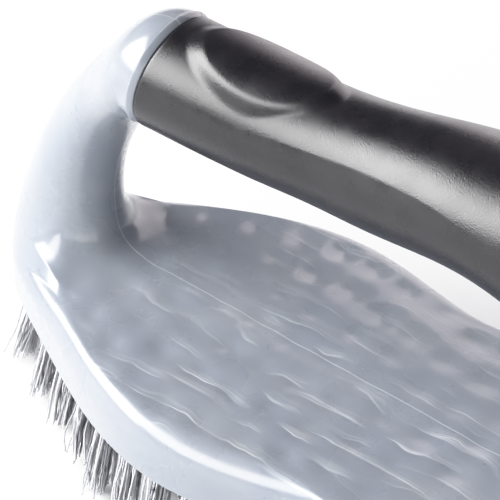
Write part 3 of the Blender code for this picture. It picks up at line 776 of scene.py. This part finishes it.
def raise_pad(rings, centre, along, angles):
    """Push the top of the rings out inside an oval; the roll round it is tighter at its rear."""
    from_middle = (along * GRIP_LENGTH - PAD_FROM_COLLAR) / (PAD_LENGTH / 2)
    rear = smooth_step(from_middle / 0.8)[:, None]
    oval = np.hypot(from_middle[:, None] * (1 + 0.08 * rear), rings[..., 1] / (PAD_WIDTH / 2))
    roll = PAD_ROLL * (1 - 0.35 * rear)
    lift = PAD_RISE * (1 - smooth_step((oval - 1) / roll)) * (np.cos(angles) < 0)
    return rings + outward_from(centre, rings) * lift[..., None]


CREASE_ALONG = (0.0, 0.2, 0.35, 0.49, 0.6, 0.7, 0.8, 1.0)
CREASE_ANGLE = np.radians((24.0, 25.0, 28.5, 33.0, 31.0, 25.0, 15.0, 4.0))
CREASE_DEPTH, CREASE_REACH, CREASE_START = 0.55, 3.2, 0.22


def crease_angles(along, angles):
    """Turn the corners of each ring so that one row of them runs down the crease of either side."""
    above = np.arctan2(-np.cos(angles), np.abs(np.sin(angles)))
    edge = spline(CREASE_ALONG, CREASE_ANGLE, along)[:, None]
    level, top = math.radians(30), math.pi / 2
    low = (above + top) / (level + top) * (edge + top) - top
    high = top - (top - above) / (top - level) * (top - edge)
    above = np.where(above <= level + 1e-9, low, high)
    side = np.where(np.sin(angles) < 0, -1.0, 1.0)
    return np.arctan2(side * np.cos(above), -np.sin(above)), above - edge


def set_in_below(rings, centre, above, along):
    """Set each flank in below the crease: steeply at the crease, then by less and less."""
    down = np.maximum(-above, 0.0) * GRIP_RADIUS
    begun = smooth_step((along - CREASE_START) / 0.2)[:, None]
    inset = CREASE_DEPTH * (1 - np.exp(-down / CREASE_REACH)) * begun
    return rings - outward_from(centre, rings) * inset[..., None]


def grip_stack(sides=240):
    """Rings of the bore from its closed end forward, then of the outside from the front back."""
    angles = math.pi - np.arange(sides) * math.tau / sides
    start = SEAT_GAP / GRIP_LENGTH
    end = 1 - (GRIP_END_WALL - SEAT_GAP) / GRIP_LENGTH
    inside = np.r_[end, np.linspace(end - 0.03, 0.08, 9), start]
    bore = np.full(len(inside), CORE_RADIUS + SEAT_GAP)
    bore = section_rings(handle_path(inside), handle_lean(inside), bore, bore, angles)
    edge = start + np.array([0.0, 0.0006, 0.002, 0.0045]) + 0.0001
    cut = np.array([0.45, 0.2, 0.05, 0.0])
    turns = np.radians([12, 24, 36, 47, 57, 66, 74, 80, 85, 88])
    tail = CLOSING + (1 - CLOSING) * np.sin(turns)
    along = np.r_[edge, np.linspace(0.012, 0.45, 120), np.linspace(0.46, CLOSING, 50), tail]
    high, wide = grip_half_sizes(along)
    high[:len(cut)] -= cut
    wide[:len(cut)] -= cut
    centre = handle_path(along)
    angles, above = crease_angles(along, angles)
    outside = section_rings(centre, handle_lean(along), high, wide, angles)
    outside = set_in_below(outside, centre, above, along)
    return np.concatenate([bore, raise_pad(outside, centre, along, angles)])


grip = skin("soft_grip", grip_stack(), elastomer)
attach(grip, "root")
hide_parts("grip_sleeve")

# %% [markdown]
# ## The tufts
#
# Each hole in the block holds one tuft: about twenty filaments, folded in two by a staple, so that
# twice as many ends stand out. The filaments are crimped, which makes them stand apart and bend
# evenly. A hair system could grow them, but here they have to be plain meshes. I compute all
# filaments of a row at once: an array of filaments, by points down each filament, by the three
# corners of its section.


# %% The filament plastic
def filament_plastic():
    """Matt light grey that lets light spread inside, with a tone for each filament."""
    material, tree, shader = new_material("grey_filament")
    tone = node(tree, "Attribute", {"attribute_name": "tone"}).outputs["Fac"]
    colour = mix_colour(tree, tone, (0.235, 0.237, 0.266), (0.29, 0.292, 0.322))
    tree.links.new(colour, shader.inputs["Base Color"])
    shader.inputs["Roughness"].default_value = 0.6
    shader.inputs["Specular IOR Level"].default_value = 0.2
    shader.inputs["Subsurface Weight"].default_value = 0.9
    shader.inputs["Subsurface Radius"].default_value = (1.0, 1.0, 1.0)
    shader.inputs["Subsurface Scale"].default_value = 0.004
    return material


filament = filament_plastic()
print(filament.name, len(filament.node_tree.nodes), "nodes")


# %% Filaments of one row
FILAMENTS, STEPS, FILAMENT_RADIUS, LOCKS = 42, 16, 0.30, 8
ROOT_DEPTH, ROOT_SPREAD, TIP_SPREAD, TIP_WANDER = 0.8, 2.7, 4.6, 0.35
LOCK_REACH, LOCK_GATHER, TIP_LIMIT = (1.4, 5.0), 0.4, np.array([80.5, 38.0])
END_LEAN, SIDE_LEAN, CRIMP, SWAY = 5.0, 6.4, (0.02, 0.09), 0.30
TIP_GAP, LOCK_SHORTFALL, OWN_SHORTFALL = 0.15, 1.6, 0.7


def filament_lines(row, chance):
    """Centre lines of a row's filaments, as (filament, step, xyz).

    A filament runs from its hole to a tip further out, bends a little between them, and swings from
    side to side by a step's zigzag, which is its crimp. The tips of each tuft gather in LOCKS
    pointed locks. Tufts near the block's edge lean outwards, and no tip is aimed past TIP_LIMIT.
    """
    home = np.repeat(row, FILAMENTS, axis=0)
    count, locks = len(home), len(row) * LOCKS
    spin = chance.uniform(0, math.tau, count)
    away = np.sqrt(chance.uniform(0.02, 1.0, count))
    side = np.stack([np.cos(spin), np.sin(spin)], axis=1)
    lengthwise = home[:, 0] / rows_x[-1]
    lean = np.stack([END_LEAN * lengthwise ** 5, SIDE_LEAN * home[:, 2] ** 3], axis=1)
    root = home[:, :2] + side * (away * ROOT_SPREAD)[:, None]
    lock = np.arange(count) // FILAMENTS * LOCKS + np.arange(count) % LOCKS
    joined = chance.uniform(0, math.tau, locks)[lock]
    joined = np.stack([np.cos(joined), np.sin(joined)], axis=1)
    joined = joined * chance.uniform(*LOCK_REACH, locks)[lock, None]
    own = side * (away * TIP_SPREAD)[:, None] + chance.normal(0, TIP_WANDER, (count, 2))
    tip = home[:, :2] + lean + own + (joined - own) * LOCK_GATHER
    tip = np.clip(tip, -TIP_LIMIT, TIP_LIMIT)
    down = np.linspace(0, 1, STEPS + 1)[None, :, None]
    line = root[:, None] + (tip - root)[:, None] * down ** 0.95
    swing = chance.uniform(0, math.tau, count)
    swing = np.stack([np.cos(swing), np.sin(swing)], axis=1)[:, None]
    zigzag = np.where(np.arange(STEPS + 1) % 2, 1.0, -1.0)[None, :, None]
    crimp = chance.uniform(*CRIMP, count)[:, None, None]
    crimp = crimp * chance.uniform(0.5, 1.3, (count, STEPS + 1, 1))
    sway = chance.normal(0, SWAY, (count, 1, 2))
    sway = sway * np.sin(math.pi * 3 * down + chance.uniform(0, 6, (count, 1, 1)))
    line = line + (swing * zigzag * crimp + sway) * np.minimum(1, down * 6)
    short = np.abs(chance.normal(0, OWN_SHORTFALL, count)) + TIP_GAP
    short = short + chance.uniform(0, LOCK_SHORTFALL, locks)[lock]
    height = DECK_FOOT + ROOT_DEPTH - (DECK_FOOT + ROOT_DEPTH - short)[:, None] * down[..., 0]
    return np.concatenate([line, height[..., None]], axis=2)


def tuft_mesh(name, row, chance):
    """Three-sided tubes round the centre lines, open at both ends, and a tone for each."""
    lines = filament_lines(row, chance)
    count, points = lines.shape[:2]
    turn = chance.uniform(0, math.tau, (count, 1, 1)) + np.arange(3) * math.tau / 3
    corner = np.stack([np.cos(turn), np.sin(turn), 0 * turn], axis=-1)
    taper = np.linspace(1.0, 0.82, points)[None, :, None, None]
    tube = lines[:, :, None] + corner * FILAMENT_RADIUS * taper
    index = np.arange(count * points * 3).reshape(count, points, 3)
    after = np.roll(index, -1, axis=2)
    quads = np.stack([index[:, :-1], index[:, 1:], after[:, 1:], after[:, :-1]], axis=-1)
    mesh = mesh_from(name, tube.reshape(-1, 3), quads.reshape(-1, 4))
    tone = np.repeat(chance.uniform(0, 1, count) ** 0.8, points * 3).astype(np.float32)
    mesh.attributes.new("tone", "FLOAT", "POINT").data.foreach_set("value", tone)
    mesh.materials.append(filament)
    return mesh


chance = np.random.default_rng(11)
for number, row in enumerate(tufts, 1):
    mesh = tuft_mesh(f"tuft_row_{number:02d}", row, chance)
    piece = bpy.data.objects.new(mesh.name, mesh)
    bpy.context.scene.collection.objects.link(piece)
    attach(piece, "root")
    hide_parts(f"bristle_row_{number:02d}")
print("filaments:", sum(len(row) for row in tufts) * FILAMENTS)

# %% [markdown]
# ## Floor and light
#
# The photograph is lit like most of its kind: a white surround, one large scrim in front on the
# left, which begins above the brush and ends high over it, a paler panel behind and a low card
# behind the camera, under a dark ceiling. The glossy plastic shows each of them as a highlight with
# an edge, so I make each as an area lamp in its place, and their places matter as much as their
# strength. The scrim has two parts and a dim band along its top, because it fades that way.


# %% The floor
FLOOR_REACH, FLOOR_DROP = 3000.0, 0.02


def make_floor():
    """A wide plain square just under the bristle tips."""
    corners = np.array([[-1, -1, 0], [1, -1, 0], [1, 1, 0], [-1, 1, 0]]) * FLOOR_REACH
    mesh = mesh_from("floor", corners - [0, 0, FLOOR_DROP], np.array([[0, 1, 2, 3]]), smooth=False)
    material, _, shader = new_material("white_floor")
    shader.inputs["Base Color"].default_value = (0.86, 0.86, 0.86, 1.0)
    shader.inputs["Roughness"].default_value = 0.9
    mesh.materials.append(material)
    floor = bpy.data.objects.new("floor", mesh)
    bpy.context.scene.collection.objects.link(floor)
    return floor


floor = make_floor()
print("floor:", floor.dimensions.x, "m wide")


# %% Lights
SCRIM_FACING = (0.866, 0.5, 0)
PANELS = (
    ("left_scrim", (-1.56, -0.90, 1.12), SCRIM_FACING, (1.46, 1.56), 14.8),
    ("left_scrim_wing", (-0.53, -2.68, 1.25), SCRIM_FACING, (2.66, 1.30), 9.8),
    ("scrim_fade", (-0.87, -2.10, 2.05), SCRIM_FACING, (4.10, 0.30), 5.0),
    ("back_panel", (-0.16, 0.95, 0.46), (0.16, -0.95, 0), (0.80, 0.90), 2.4, (1.0, 0.92, 0.96)),
    ("front_card", (0.90, -1.30, 0.30), (-0.7, 1, 0), (1.6, 0.60), 2.3),
)


def panel(name, middle, facing, size, radiance, colour=(1.0, 1.0, 1.0)):
    """An upright panel of light: its middle, the way it faces, its width and height in metres.

    A lamp's power is pi times its area times its radiance, the brightness that a mirror shows.
    """
    data = bpy.data.lights.new(name, "AREA")
    data.shape = "RECTANGLE"
    data.size, data.size_y = size
    data.energy = math.pi * size[0] * size[1] * radiance
    data.color = colour
    light = bpy.data.objects.new(name, data)
    light.location = middle
    light.rotation_euler = Vector(facing).to_track_quat("-Z", "Y").to_euler()
    bpy.context.scene.collection.objects.link(light)
    return light


for values in PANELS:
    panel(*values)


# %% The surround and the picture's tones
WORLD_COLOUR, WORLD_STRENGTH = (0.86, 0.91, 1.0, 1.0), 0.17
SHOULDER, COMBINED = ((0.5, 0.5), (0.8, 0.78), (1.1, 0.95)), 3

world = bpy.data.worlds.new("studio")
bpy.context.scene.world = world
world.use_nodes = True
world.node_tree.nodes["Background"].inputs["Color"].default_value = WORLD_COLOUR
world.node_tree.nodes["Background"].inputs["Strength"].default_value = WORLD_STRENGTH
bpy.context.scene.view_settings.view_transform = "Standard"


def soft_shoulder(white=1.35):
    """Bend the picture's brightest tones so that they reach white at white, not at 1, like film."""
    view = bpy.context.scene.view_settings
    view.use_curve_mapping = True
    curve = view.curve_mapping.curves[COMBINED]
    for bright, shown in SHOULDER:
        curve.points.new(bright / white, shown)
    view.curve_mapping.white_level = (white, white, white)
    view.curve_mapping.update()


soft_shoulder()
print("surround:", WORLD_STRENGTH)
